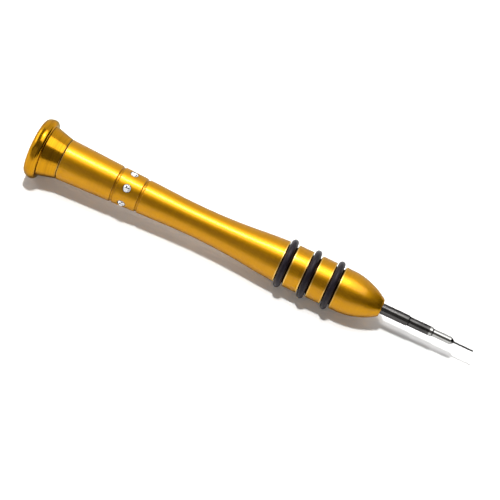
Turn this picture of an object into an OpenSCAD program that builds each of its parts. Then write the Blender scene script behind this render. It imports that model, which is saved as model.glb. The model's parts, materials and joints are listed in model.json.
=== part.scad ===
// Pocket screwdriver: a turned handle with a slim waist, a band of set stones, three grip rings,
// a thin stepped blade and an end cap that spins on a small ball bearing.
// The tool lies along +X with its tip at +X and +Z up. The origin is the centre of the cap's end face.

/* [Swivel cap] */
// Length of the cap from its end face to its mouth
cap_length = 8.3; // [7.8:0.1:10]
// Diameter over the rounded rim
cap_rim_d = 16.6; // [16.4:0.1:18]
// Width of the rim along the axis
cap_rim_width = 3.4; // [3:0.1:3.8]
// Rounding of the rim at the end face
cap_rim_round = 1.75; // [1.4:0.05:1.8]
// Rounding of the rim at the side of the neck
cap_rim_front_round = 1.05; // [0.8:0.05:1.15]
// Diameter of the neck where it leaves the rim
cap_neck_d = 13.8; // [12.5:0.1:14]
// Hollow rounding between the rim and the neck
cap_neck_fillet = 0.3; // [0.1:0.05:0.3]
// Running gap between the cap's mouth and the handle
seam_gap = 0.2; // [0.15:0.05:0.4]

/* [Handle] */
// Length of the handle from its rear face to the end of its nose
handle_length = 90.9; // [90:0.5:100]
// Diameter at the rear face and at the cap's mouth
handle_rear_d = 11.2; // [10.8:0.1:12]
// Smallest diameter, at the waist
waist_d = 8.35; // [7.8:0.05:9]
// Distance from the rear face to the waist
waist_from_rear = 37.8; // [35:0.1:40]
// Radius of the hollow curve through the waist
waist_radius = 160; // [140:5:190]
// Diameter of the barrel that carries the grip rings
barrel_d = 11.6; // [11:0.1:12.5]
// Radius of the swelling curve from the waist into the barrel
barrel_blend_radius = 110; // [90:5:130]
// Length of the rounded nose
nose_length = 10.5; // [9.5:0.1:12]
// Diameter where the rounded nose ends
nose_end_d = 5; // [4.6:0.1:6]
// Bevel round the flat end of the nose
nose_bevel = 0.3; // [0.1:0.05:0.5]

/* [Stone band] */
// Diameter of a stone
stone_d = 2.1; // [1.8:0.1:2.8]
// Distance from the handle's rear face to the middle of the stones
stones_from_rear = 18.5; // [15:0.1:22]
// Turn of the first stone, from level at the front towards the top, in degrees
stone_turn = 52; // [0:1:59]
// Depth of a stone's edge under the surface
stone_sink = 0.1; // [0.1:0.05:0.3]
// Distance from the stones on to the middle between the two fine grooves
band_shift = 0.4; // [0:0.1:0.8]
// Distance between the two fine grooves beside the stones
band_groove_spacing = 7.1; // [6:0.1:9]
// Width of a fine groove
band_groove_width = 0.9; // [0.8:0.1:1.4]
// Depth of a fine groove
band_groove_depth = 0.3; // [0.1:0.05:0.4]

/* [Grip rings] */
// Thickness of a ring's round section
ring_cord_d = 1.8; // [1.4:0.1:1.9]
// Width of a ring groove
ring_groove_width = 2.35; // [2:0.1:3]
// Depth of a ring groove under the barrel
ring_groove_depth = 0.85; // [0.6:0.05:1]
// Distance between neighbouring rings
ring_pitch = 6.66; // [5.5:0.02:7]
// Distance from the front ring to the end of the nose
front_ring_from_nose = 13.9; // [13.6:0.1:16]

/* [Blade] */
// Diameter of the shank where it leaves the nose
shank_d = 2.9; // [2.7:0.1:3.4]
// Length of the shank outside the nose
shank_length = 7.6; // [4:0.1:40]
// Diameter of the middle step
step_d = 2.5; // [2.3:0.1:2.6]
// Length of the middle step
step_length = 6.8; // [3:0.1:20]
// Diameter of the bright front step
front_d = 2; // [1.6:0.1:2.2]
// Length of the bright front step
front_length = 5.2; // [2:0.1:20]
// Length of the cone down to the thin tip
taper_length = 1; // [0.6:0.1:3]
// Diameter of the thin tip
tip_d = 0.5; // [0.5:0.05:1.2]
// Length of the thin tip
tip_length = 5.4; // [3:0.1:10]
// Length of the star-shaped end of the tip
drive_length = 1.2; // [0.6:0.1:2]
// Number of lobes on the star-shaped end
drive_lobes = 5; // [4:1:6]
// Length of the tang pressed into the nose
tang_length = 20; // [14:0.5:28]
// Length of the fluted part of the tang
tang_flute_length = 8; // [4:0.5:12]
// Number of flutes round the tang
tang_flutes = 8; // [6:1:12]

/* [Swivel bearing] */
// Bore of the bearing, which takes the pivot screw
bearing_bore_d = 3; // [2.6:0.1:3.2]
// Outside diameter of the bearing, which seats in the cap
bearing_outer_d = 7; // [6.8:0.1:8]
// Width of the bearing
bearing_width = 3; // [2.6:0.1:3.4]
// Diameter of a ball, as a share of the wall between the bore and the outside
ball_share = 0.6; // [0.5:0.01:0.64]
// Thickness of a shield
shield_thickness = 0.2; // [0.1:0.05:0.25]

/* [Pivot screw] */
// Height of the screw's head
screw_head_height = 1.4; // [1.1:0.1:1.6]
// Length of the screw inside the handle
screw_grip = 8; // [6:0.5:14]
// Width across the flats of the hexagon socket
socket_flats = 1.5; // [1.3:0.1:1.8]
// Depth of the hexagon socket
socket_depth = 0.8; // [0.5:0.1:0.9]
// Thickness of the spacer between the bearing and the handle
spacer_thickness = 0.5; // [0.4:0.1:0.8]

/* [Hidden] */

$fn = 96;
// Steps in which a long curve and a small rounding are drawn
curve_steps = 24;
round_steps = 12;

// Small values that several pieces share
overrun = 1;
edge_break = 0.15;
press_clearance = 0.01;
race_clearance = 0.02;
ball_pocket_clearance = 0.03;
shield_clearance = 0.1;
shield_recess = 0.1;
head_room = 0.6;
screw_end_room = 1;
drill_point_angle = 118;
stone_clearance = 0.02;
ring_count = 3;
stone_count = 6;
ball_count = 7;
stone_table_sides = 8;
stone_girdle_sides = 16;
socket_sides = 6;

// Shares of a stone's diameter
stone_table_share = 0.55;
stone_crown_share = 0.2;
stone_girdle_share = 0.05;
stone_pavilion_share = 0.36;
stone_culet_share = 0.1;

// Shares of the ball, the tip and the tang
land_share = 2 / 3;
shield_seat_share = 1 / 8;
cage_wall_share = 0.25;
cage_grip_share = 0.3;
cage_back_share = 0.5;
drive_flute_share = 0.42;
tang_flute_share = 0.1;

// Places along the axis, from the cap's end face
handle_x = cap_length + seam_gap;
nose_x = handle_x + handle_length;
bearing_front_x = handle_x - spacer_thickness;
bearing_mid_x = bearing_front_x - bearing_width / 2;
bearing_rear_x = bearing_front_x - bearing_width;
cap_pocket_x = bearing_rear_x - screw_head_height - head_room;
ring_x = [for (i = [1:ring_count]) nose_x - front_ring_from_nose - (ring_count - i) * ring_pitch];

// Radii of the turned parts
cap_rim_r = cap_rim_d / 2;
handle_rear_r = handle_rear_d / 2;
waist_r = waist_d / 2;
barrel_r = barrel_d / 2;
nose_end_r = nose_end_d / 2;
ring_floor_r = barrel_r - ring_groove_depth;
ring_middle_r = ring_floor_r + press_clearance + ring_cord_d / 2;

// Bearing: the balls run on the circle half way between bore and outside
ball_d = (bearing_outer_d - bearing_bore_d) / 2 * ball_share;
ball_r = ball_d / 2;
pitch_r = (bearing_bore_d + bearing_outer_d) / 4;
race_r = ball_r + race_clearance;
inner_land_r = pitch_r - ball_r * land_share;
outer_land_r = pitch_r + ball_r * land_share;
shield_seat_r = outer_land_r + ball_d * shield_seat_share;
shield_inside = bearing_width / 2 - shield_recess - shield_thickness;
clamp_r = inner_land_r - shield_clearance / 2;

// Handle curve: a cone from the rear face runs on into the waist's hollow arc,
// which turns over into the arc that meets the barrel
waist_centre = [waist_r + waist_radius, waist_from_rear];
rear_to_centre = waist_centre - [handle_rear_r, 0];
cone_angle = asin(waist_radius / norm(rear_to_centre)) - atan2(rear_to_centre[0], rear_to_centre[1]);
swell = barrel_r - waist_r;
both_radii = waist_radius + barrel_blend_radius;
barrel_from_rear = waist_from_rear + sqrt(2 * both_radii * swell - swell * swell);
swell_angle = asin((barrel_from_rear - waist_from_rear) / both_radii);
blend_centre = [barrel_r - barrel_blend_radius, barrel_from_rear];
nose_drop = barrel_r - nose_end_r;
nose_radius = (nose_length * nose_length + nose_drop * nose_drop) / (2 * nose_drop);
nose_angle = asin(nose_length / nose_radius);
nose_centre = [barrel_r - nose_radius, handle_length - nose_bevel - nose_length];

// Radius of the handle's rear cone at a distance from the rear face
function cone_r(u) = handle_rear_r - u * tan(cone_angle);

// Points [radius, place] on an arc round a centre, between two angles.
// An arc that runs on from another curve leaves out its first point.
function arc(centre, r, from, to, steps, first = 0) = [
    for (i = [first:steps])
        let (a = from + (to - from) * i / steps)
            centre + r * [cos(a), sin(a)]
];

// Stands children that were made along Z on the axis, at a place along it, with their X to the back
module on_axis(x) {
    translate([x, 0, 0])
        rotate([90, 0, 90])
            children();
}

// Turns an outline of [radius, place] points about the axis
module turned(points) {
    rotate_extrude()
        polygon(points);
}

// Plain ring between two radii
module ring(inner, outer, width) {
    turned([[inner, 0], [outer, 0], [outer, width], [inner, width]]);
}

// Blind drilled hole with a pointed bottom, going up from a place on the axis
module drilled(r, depth) {
    point = r / tan(drill_point_angle / 2);
    turned([[0, -overrun], [r, -overrun], [r, depth], [0, depth + point]]);
}

// Places children at one stone's seat, with +Z pointing outwards
module at_stone(i) {
    on_axis(handle_x + stones_from_rear)
        rotate([0, 0, 180 - stone_turn + i * 360 / stone_count])
            translate([cone_r(stones_from_rear) - stone_sink, 0, 0])
                rotate([0, 90, 0])
                    children();
}

// Turned outline of the handle
handle_outline = concat(
    [[0, 0], [handle_rear_r - edge_break, 0], [cone_r(edge_break), edge_break]],
    arc(waist_centre, waist_radius, 180 + cone_angle, 180 - swell_angle, curve_steps),
    arc(blend_centre, barrel_blend_radius, -swell_angle, 0, curve_steps, 1),
    arc(nose_centre, nose_radius, 0, nose_angle, curve_steps),
    [[nose_end_r - nose_bevel, handle_length], [0, handle_length]]
);

// Square groove for a grip ring, at a place measured from the rear face
module ring_groove(middle) {
    translate([0, 0, middle - ring_groove_width / 2])
        ring(ring_floor_r, barrel_r + overrun, ring_groove_width);
}

// Fine groove with a round bottom, beside the stones
module band_groove(middle) {
    r = (band_groove_width * band_groove_width / 4 + band_groove_depth * band_groove_depth)
        / (2 * band_groove_depth);
    rotate_extrude()
        translate([cone_r(middle) - band_groove_depth + r, middle])
            circle(r = r);
}

// Hole for one stone: a straight seat over a cone
module stone_pocket() {
    r = stone_d / 2 + stone_clearance;
    girdle = stone_d * stone_girdle_share;
    depth = stone_d * stone_pavilion_share;
    translate([0, 0, -girdle])
        turned([
            [0, -depth - stone_clearance],
            [stone_d * stone_culet_share / 2 + stone_clearance, -depth - stone_clearance],
            [r, 0],
            [r, girdle + stone_sink + overrun],
            [0, girdle + stone_sink + overrun]
        ]);
}

module handle_body() {
    color("goldenrod")
        difference() {
            on_axis(handle_x)
                difference() {
                    turned(handle_outline);
                    drilled(bearing_bore_d / 2, screw_grip + screw_end_room);
                    for (side = [-1, 1])
                        band_groove(stones_from_rear + band_shift + side * band_groove_spacing / 2);
                    for (x = ring_x)
                        ring_groove(x - handle_x);
                    translate([0, 0, handle_length])
                        mirror([0, 0, 1])
                            drilled(shank_d / 2 + press_clearance, tang_length + press_clearance);
                }
            for (i = [0:stone_count - 1])
                at_stone(i) stone_pocket();
        }
}

module grip_ring(x) {
    color("#1c1a1d")
        on_axis(x)
            rotate_extrude()
                translate([ring_middle_r, 0])
                    circle(d = ring_cord_d);
}

// Cut stone: flat table, sloping crown, thin girdle and pointed back
module stone(i) {
    girdle = stone_d * stone_girdle_share;
    crown = stone_d * stone_crown_share;
    back = stone_d * stone_pavilion_share;
    color("whitesmoke")
        at_stone(i)
            hull() {
                cylinder(h = crown, d = stone_d * stone_table_share, $fn = stone_table_sides);
                translate([0, 0, -girdle])
                    cylinder(h = girdle, d = stone_d, $fn = stone_girdle_sides);
                translate([0, 0, -girdle - back])
                    cylinder(h = back, d = stone_d * stone_culet_share, $fn = stone_table_sides);
            }
}

// Stepped steel blade: fluted tang, dark shank and middle step, bright front step, cone and thin tip
module blade() {
    shank_r = shank_d / 2;
    step_r = step_d / 2;
    front_r = front_d / 2;
    tip_r = tip_d / 2;
    shank_end = tang_length + shank_length;
    step_end = shank_end + step_length;
    front_end = step_end + front_length;
    tip_start = front_end + taper_length;
    tip_end = tip_start + tip_length;
    flute_r = shank_d * tang_flute_share / 2;
    notch_r = tip_r * drive_flute_share;
    color("dimgray")
        on_axis(nose_x - tang_length)
            difference() {
                turned([
                    [0, 0],
                    [shank_r - edge_break, 0],
                    [shank_r, edge_break],
                    [shank_r, shank_end - edge_break],
                    [shank_r - edge_break, shank_end],
                    [step_r, shank_end],
                    [step_r, step_end - edge_break],
                    [step_r - edge_break, step_end],
                    [front_r, step_end],
                    [front_r, front_end],
                    [tip_r, tip_start],
                    [tip_r, tip_end],
                    [0, tip_end]
                ]);
                for (i = [0:tang_flutes - 1])
                    rotate([0, 0, i * 360 / tang_flutes])
                        translate([shank_r, 0, -overrun])
                            cylinder(h = tang_flute_length + overrun, r = flute_r);
                for (i = [0:drive_lobes - 1])
                    rotate([0, 0, i * 360 / drive_lobes])
                        translate([tip_r + notch_r / 2, 0, tip_end - drive_length])
                            cylinder(h = drive_length + overrun, r = notch_r);
            }
}

// One-piece cap: rounded rim, conical neck, bearing seat and room for the screw's head
module swivel_cap() {
    neck_r = cap_neck_d / 2;
    neck_angle = atan2(neck_r - handle_rear_r, cap_length - cap_rim_width);
    rear_centre = [cap_rim_r - cap_rim_round, cap_rim_round];
    front_centre = [cap_rim_r - cap_rim_front_round, cap_rim_width - cap_rim_front_round];
    fillet_out = cap_neck_fillet * (1 - sin(neck_angle)) / cos(neck_angle);
    fillet_centre = [neck_r + fillet_out, cap_rim_width + cap_neck_fillet];
    color("goldenrod")
        on_axis(0)
            difference() {
                turned(concat(
                    [[0, 0]],
                    arc(rear_centre, cap_rim_round, -90, 0, round_steps),
                    arc(front_centre, cap_rim_front_round, 0, 90, round_steps),
                    arc(fillet_centre, cap_neck_fillet, 270, 180 + neck_angle, round_steps),
                    [
                        [handle_rear_r, cap_length - edge_break],
                        [handle_rear_r - edge_break, cap_length],
                        [0, cap_length]
                    ]
                ));
                translate([0, 0, bearing_rear_x])
                    ring(0, bearing_outer_d / 2, cap_length - bearing_rear_x + overrun);
                translate([0, 0, cap_pocket_x])
                    ring(0, outer_land_r, bearing_rear_x - cap_pocket_x + overrun);
            }
}

// Raceway groove, centred on the bearing's middle plane
module raceway() {
    rotate_extrude()
        translate([pitch_r, 0])
            circle(r = race_r);
}

module bearing_outer_ring() {
    color("silver")
        on_axis(bearing_mid_x)
            difference() {
                translate([0, 0, -bearing_width / 2])
                    ring(outer_land_r, bearing_outer_d / 2, bearing_width);
                raceway();
                for (side = [0, 1])
                    mirror([0, 0, side])
                        translate([0, 0, shield_inside])
                            ring(inner_land_r, shield_seat_r, bearing_width / 2);
            }
}

module bearing_inner_ring() {
    color("silver")
        on_axis(bearing_mid_x)
            difference() {
                translate([0, 0, -bearing_width / 2])
                    ring(bearing_bore_d / 2, inner_land_r, bearing_width);
                raceway();
            }
}

// Places children at one ball's centre
module at_ball(i) {
    on_axis(bearing_mid_x)
        rotate([0, 0, i * 360 / ball_count])
            translate([pitch_r, 0, 0])
                children();
}

module bearing_ball(i) {
    color("gainsboro")
        at_ball(i)
            sphere(r = ball_r);
}

// Snap-in cage: a ring behind the balls with prongs that close round them
module bearing_cage() {
    wall = ball_d * cage_wall_share;
    grip = ball_d * cage_grip_share;
    back = (shield_inside - ball_r) * cage_back_share;
    color("peru")
        difference() {
            on_axis(bearing_mid_x - grip)
                ring(pitch_r - wall, pitch_r + wall, grip + ball_r + back);
            for (i = [0:ball_count - 1])
                at_ball(i) sphere(r = ball_r + ball_pocket_clearance);
        }
}

module bearing_shield(side) {
    color("lightsteelblue")
        on_axis(bearing_mid_x)
            mirror([0, 0, side])
                translate([0, 0, shield_inside])
                    ring(inner_land_r + shield_clearance, shield_seat_r, shield_thickness);
}

// Low-headed screw that clamps the inner ring and the spacer to the handle
module pivot_screw() {
    shaft_r = bearing_bore_d / 2 - press_clearance;
    shaft_end = screw_head_height + bearing_width + spacer_thickness + screw_grip;
    socket_d = socket_flats / cos(180 / socket_sides);
    color("darkgray")
        on_axis(bearing_rear_x - screw_head_height)
            difference() {
                turned([
                    [0, 0],
                    [clamp_r - edge_break, 0],
                    [clamp_r, edge_break],
                    [clamp_r, screw_head_height],
                    [shaft_r, screw_head_height],
                    [shaft_r, shaft_end - edge_break],
                    [shaft_r - edge_break, shaft_end],
                    [0, shaft_end]
                ]);
                translate([0, 0, -overrun])
                    cylinder(h = socket_depth + overrun, d = socket_d, $fn = socket_sides);
            }
}

module pivot_spacer() {
    color("darkgray")
        on_axis(bearing_front_x)
            ring(bearing_bore_d / 2, clamp_r, spacer_thickness);
}

handle_body();
blade();
grip_ring(ring_x[0]);  // grip_ring_rear
grip_ring(ring_x[1]);  // grip_ring_middle
grip_ring(ring_x[2]);  // grip_ring_front
stone(0);  // stone_1
stone(1);  // stone_2
stone(2);  // stone_3
stone(3);  // stone_4
stone(4);  // stone_5
stone(5);  // stone_6
swivel_cap();
bearing_outer_ring();
bearing_inner_ring();
bearing_cage();
bearing_ball(0);  // bearing_ball_1
bearing_ball(1);  // bearing_ball_2
bearing_ball(2);  // bearing_ball_3
bearing_ball(3);  // bearing_ball_4
bearing_ball(4);  // bearing_ball_5
bearing_ball(5);  // bearing_ball_6
bearing_ball(6);  // bearing_ball_7
bearing_shield(1);  // bearing_shield_rear
bearing_shield(0);  // bearing_shield_front
pivot_screw();
pivot_spacer();
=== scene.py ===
# %% [markdown]
# # A gold pocket screwdriver
#
# The tool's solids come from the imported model. They give every size, every place and the joint of the
# swivel cap. This lesson lays a finer surface and a real finish over them, one piece at a time, and then
# sets up the small white studio in which the tool lies. Sizes are written in millimetres, as on a workshop
# drawing, and turned into metres at the last moment.

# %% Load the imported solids
import json
import math

import bmesh
import bpy
from mathutils import Matrix, Vector


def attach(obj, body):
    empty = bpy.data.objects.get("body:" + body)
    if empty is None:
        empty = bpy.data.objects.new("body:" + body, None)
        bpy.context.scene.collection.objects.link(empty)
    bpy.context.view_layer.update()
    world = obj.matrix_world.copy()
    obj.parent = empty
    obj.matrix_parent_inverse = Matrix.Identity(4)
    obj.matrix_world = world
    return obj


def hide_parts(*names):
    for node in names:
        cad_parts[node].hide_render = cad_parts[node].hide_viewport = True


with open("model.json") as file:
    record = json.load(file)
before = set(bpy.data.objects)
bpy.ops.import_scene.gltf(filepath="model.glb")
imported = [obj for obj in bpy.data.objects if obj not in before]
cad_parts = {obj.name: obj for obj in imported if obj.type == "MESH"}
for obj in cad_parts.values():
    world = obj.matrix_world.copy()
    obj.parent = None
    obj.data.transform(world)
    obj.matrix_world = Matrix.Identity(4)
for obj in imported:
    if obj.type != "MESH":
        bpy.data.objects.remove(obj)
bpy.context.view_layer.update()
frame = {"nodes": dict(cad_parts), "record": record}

MM = 0.001

# %% [markdown]
# ## Camera
#
# The camera comes first, because every later choice is judged through it. A long lens half a metre away
# looks down at 52 degrees across the tool, and is rolled so that the tool runs down to the right. One could
# place it by eye; here its axes are worked out from the angles, so that a change of one angle stays clean.

# %% Camera from angles
PICTURE_PX = 500
FOCAL_PX = 1950
PX_PER_MM = 3.86
SENSOR_MM = 36
LOOK_DOWN, SWING, ROLL = (math.radians(a) for a in (52, 3, 25.2))
AIM_X, AIM_DROP_PX = 62.26, 3.27
NEAREST_M, FARTHEST_M = 0.01, 20


def into_scene(thing):
    bpy.context.scene.collection.objects.link(thing)
    return thing


def studio_camera():
    away = math.cos(SWING)
    back = Vector((math.sin(SWING), -away * math.cos(LOOK_DOWN), away * math.sin(LOOK_DOWN)))
    level = (Vector((1, 0, 0)) - back * back.x).normalized()
    drop = -back.cross(level)
    right = level * math.cos(ROLL) - drop * math.sin(ROLL)
    down = level * math.sin(ROLL) + drop * math.cos(ROLL)
    aim = Vector((AIM_X, 0, 0)) + drop * (AIM_DROP_PX / PX_PER_MM)
    place = (aim + back * (FOCAL_PX / PX_PER_MM)) * MM
    axes = Matrix((right, -down, back)).transposed().to_4x4()
    camera = into_scene(bpy.data.objects.new("studio_camera", bpy.data.cameras.new("studio_camera")))
    camera.matrix_world = Matrix.Translation(place) @ axes
    camera.data.sensor_width = SENSOR_MM
    camera.data.lens = FOCAL_PX / PICTURE_PX * SENSOR_MM
    camera.data.clip_start, camera.data.clip_end = NEAREST_M, FARTHEST_M
    bpy.context.scene.camera = camera
    return camera


camera = studio_camera()
print("camera:", [round(v / MM, 1) for v in camera.location], "mm, lens", round(camera.data.lens, 1))

# %% [markdown]
# ## Node helpers
#
# Materials and Geometry Nodes are both trees of nodes. Four small helpers keep them readable: one fills a
# node's sockets with numbers or with other nodes' outputs, one adds a node and fills it, one hands on its
# first output, and one does a sum.

# %% Fill sockets, add a node, wire it on, do a sum
def fill(tree, node, sockets):
    for name, value in sockets.items():
        if isinstance(value, bpy.types.NodeSocket):
            tree.links.new(value, node.inputs[name])
        else:
            node.inputs[name].default_value = value


def add(tree, kind, sockets=None, **settings):
    node = tree.nodes.new(kind)
    for name, value in settings.items():
        setattr(node, name, value)
    fill(tree, node, sockets or {})
    return node


def wire(tree, kind, sockets=None, **settings):
    return add(tree, kind, sockets, **settings).outputs[0]


def sums(tree, operation, a, b=0.0):
    return wire(tree, "ShaderNodeMath", {0: a, 1: b}, operation=operation)


print("node helpers:", [helper.__name__ for helper in (fill, add, wire, sums)])

# %% [markdown]
# ## Finish helpers
#
# Real surfaces are never one flat colour. Every finish on the tool starts from a stretched noise, its grain,
# and lets the colour, the gloss and a fine bump follow it. Noise keeps to the middle of its range, so it is
# read from 0.2 to 0.8. Pictures could be wrapped round the tool instead, but a grain from nodes stays sharp.

# %% Grain, tints and bumps
NOISE_LOW, NOISE_HIGH = 0.2, 0.8


def empty_finish(name):
    finish = bpy.data.materials.new(name)
    finish.use_nodes = True
    finish.node_tree.nodes.clear()
    return finish, finish.node_tree


def new_finish(name):
    finish, tree = empty_finish(name)
    surface = add(tree, "ShaderNodeBsdfPrincipled")
    add(tree, "ShaderNodeOutputMaterial", {"Surface": surface.outputs[0]})
    place = add(tree, "ShaderNodeTexCoord").outputs["Object"]
    return finish, tree, surface, place


def grain(tree, place, along, across, detail=2.0):
    stretched = wire(tree, "ShaderNodeMapping", {"Vector": place, "Scale": (along, across, across)})
    return wire(tree, "ShaderNodeTexNoise", {"Vector": stretched, "Scale": 1.0, "Detail": detail})


def spread(tree, value, low, high, to_low, to_high):
    return wire(tree, "ShaderNodeMapRange", {0: value, 1: low, 2: high, 3: to_low, 4: to_high})


def vary(tree, noise, to_low, to_high):
    return spread(tree, noise, NOISE_LOW, NOISE_HIGH, to_low, to_high)


def tint(tree, factor, first, second):
    return add(tree, "ShaderNodeMix", {0: factor, 6: first, 7: second}, data_type="RGBA").outputs[2]


def bumps(tree, height, strength, depth):
    return wire(tree, "ShaderNodeBump", {"Strength": strength, "Distance": depth * MM, "Height": height})


def shape_value(tree, name):
    return add(tree, "ShaderNodeAttribute", attribute_name=name).outputs["Fac"]


print("noise is read from", NOISE_LOW, "to", NOISE_HIGH)

# %% [markdown]
# ## Gold anodised aluminium
#
# The handle is turned aluminium under a thin gold oxide layer. Close up it has fine rings left by the lathe,
# a slightly uneven dye and paler edges where the layer is thin; shade is painted darker into its grooves,
# with a little grime in the ring grooves. The rings are a noise that is squeezed along the axis, so they run
# round the tool. The distance from the axis is added to the place along it first, and so the rings also run
# round the cap's flat end, as they do after facing it.
# Where an edge or painted shade is, the shape says itself, with a value called wear on its points: 1 on
# a bare edge, minus 1 where shade is painted deep into a groove. A thin clear coat gives the pale core of the
# highlight. The swivel cap has the same layer over a polished face, so one function makes both finishes.

# %% Turned grain, dye and pale edges
DEEP_GOLD = (0.45, 0.201, 0.001, 1)
PALE_GOLD = (0.52, 0.245, 0.003, 1)
MARK_GOLD = (0.31, 0.13, 0.001, 1)
EDGE_GOLD = (0.82, 0.58, 0.20, 1)
GRAZING_GOLD = (0.34, 0.38, 0.25, 1)
# Painted shade for grooves and stone gaps, with some grime in the ring grooves
SHADE_AND_GRIME = (0.03, 0.016, 0.006, 1)
# Waves per metre along and across the tool, and their detail
RINGS, MARKS = (7000, 150, 2.0), (2200, 40, 2.0)
BANDS, DYE = (900, 12, 1.0), (90, 130, 3.0)
GLOSS_FROM, GLOSS_TO = 60 * MM, 75 * MM


def round_the_axis(tree, place):
    x, y, z = add(tree, "ShaderNodeSeparateXYZ", {0: place}).outputs
    squares = sums(tree, "ADD", sums(tree, "MULTIPLY", y, y), sums(tree, "MULTIPLY", z, z))
    reach = sums(tree, "ADD", x, sums(tree, "SQRT", squares))
    return wire(tree, "ShaderNodeCombineXYZ", {0: reach, 1: y, 2: z})


def gold_finish(name, rear_rough, front_rough, rough_swing, ring_depth, mark_tone, coat, coat_rough):
    finish, tree, surface, place = new_finish(name)
    turned = round_the_axis(tree, place)
    rings, marks, bands = (grain(tree, turned, *waves) for waves in (RINGS, MARKS, BANDS))
    dye = grain(tree, place, *DYE)
    colour = tint(tree, vary(tree, rings, 0.2, 0.8), DEEP_GOLD, PALE_GOLD)
    colour = tint(tree, spread(tree, dye, 0.35, 0.75, 0.0, 0.35), colour, PALE_GOLD)
    colour = tint(tree, spread(tree, marks, 0.35, 0.7, 0.0, mark_tone), colour, MARK_GOLD)
    wear = shape_value(tree, "wear")
    bare, patchy = spread(tree, wear, 0.0, 1.0, 0.0, 1.0), spread(tree, dye, 0.3, 0.7, 0.25, 0.8)
    colour = tint(tree, sums(tree, "MULTIPLY", bare, patchy), colour, EDGE_GOLD)
    # Negative values paint shade into the grooves and round the stones
    colour = tint(tree, spread(tree, wear, -1.0, 0.0, 1.0, 0.0), colour, SHADE_AND_GRIME)
    along = wire(tree, "ShaderNodeSeparateXYZ", {0: place})
    uneven = sums(tree, "ADD", *(vary(tree, noise, -rough_swing, rough_swing) for noise in (rings, bands)))
    rough = spread(tree, along, GLOSS_FROM, GLOSS_TO, rear_rough, front_rough)
    fill(tree, surface, {
        "Base Color": colour,
        "Roughness": sums(tree, "ADD", rough, uneven),
        "Normal": bumps(tree, rings, strength=0.3, depth=ring_depth),
        "Metallic": 1.0,
        "Specular Tint": GRAZING_GOLD,
        "Coat Weight": coat,
        "Coat Roughness": coat_rough,
    })
    return finish


satin_gold = gold_finish(
    "satin_gold", rear_rough=0.43, front_rough=0.39, rough_swing=0.03,
    ring_depth=0.004, mark_tone=0.15, coat=0.28, coat_rough=0.13)
polished_gold = gold_finish(
    "polished_gold", rear_rough=0.2, front_rough=0.2, rough_swing=0.02,
    ring_depth=0.001, mark_tone=0.6, coat=0.15, coat_rough=0.1)
print("gold finishes:", satin_gold.name, polished_gold.name)

# %% [markdown]
# ## Outlines with soft corners
#
# A lathe tool never leaves a perfectly sharp corner, and the thin line of light on a rounded edge is what
# makes a turned part look real. An outline is written as corners of place, radius and rounding; this helper
# swaps each corner for a small arc and marks the outward ones as edges, for the paler tone there. A Bevel
# modifier could round them too, but here every rounding can have its own size.

# %% Soften the corners of an outline
MOST_OF_A_SIDE = 0.45


def soften(corners, steps=4):
    points = [(*corners[0][:2], 0.0)]
    for before, (x, r, rounding), after in zip(corners, corners[1:], corners[2:]):
        here = Vector((x, r))
        rear, ahead = Vector(before[:2]) - here, Vector(after[:2]) - here
        if not rounding:
            points.append((x, r, 0.0))
            continue
        half = rear.angle(ahead) / 2
        run = min(rounding / math.tan(half), MOST_OF_A_SIDE * rear.length, MOST_OF_A_SIDE * ahead.length)
        centre = here + (rear.normalized() + ahead.normalized()).normalized() * (run / math.cos(half))
        spoke = here + rear.normalized() * run - centre
        outward = rear.x * ahead.y - rear.y * ahead.x > 0
        swing = (math.pi - 2 * half) * (-1 if outward else 1)
        for k in range(steps + 1):
            a = swing * k / steps
            turned = Vector((spoke.x * math.cos(a) - spoke.y * math.sin(a),
                             spoke.x * math.sin(a) + spoke.y * math.cos(a)))
            on_edge = outward and 0 < k < steps
            points.append((*(centre + turned), 1.0 if on_edge else 0.0))
    points.append((*corners[-1][:2], 0.0))
    return points


print("a square corner becomes", len(soften([(0, 0, 0), (0, 1, 0.1), (1, 1, 0)])) - 2, "points")

# %% [markdown]
# ## A lathe in Geometry Nodes
#
# The cap, the blade and the rubber rings are all outlines turned about the long axis. One tree makes them:
# a flat grid is as long as the outline has points and as wide as the turn has steps, and each of its points
# is moved to its place on the turned surface. Two values on the outline cut flutes or lobes into it, and the
# result can be repeated along the axis. The grid is closed by merging the points that meet. A Screw modifier
# would turn an outline too, but it can't cut lobes.

# %% Start and end a tree
def start_tree(name, inputs):
    tree = bpy.data.node_groups.new(name, "GeometryNodeTree")
    tree.interface.new_socket("Geometry", in_out="INPUT", socket_type="NodeSocketGeometry")
    for label, kind in inputs.items():
        tree.interface.new_socket(label, in_out="INPUT", socket_type="NodeSocket" + kind)
    tree.interface.new_socket("Geometry", in_out="OUTPUT", socket_type="NodeSocketGeometry")
    return tree, add(tree, "NodeGroupInput").outputs


def end_tree(tree, geometry, finish):
    real = wire(tree, "GeometryNodeRealizeInstances", {0: geometry})
    dressed = wire(tree, "GeometryNodeSetMaterial", {"Geometry": real, "Material": finish})
    add(tree, "NodeGroupOutput", {0: dressed})


LATHE_INPUTS = {"Steps round": "Int", "Copies": "Int", "Pitch": "Float", "Finish": "Material"}
print("lathe inputs:", list(LATHE_INPUTS))

# %% Build the lathe tree
MEET_M = 1e-7


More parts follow.
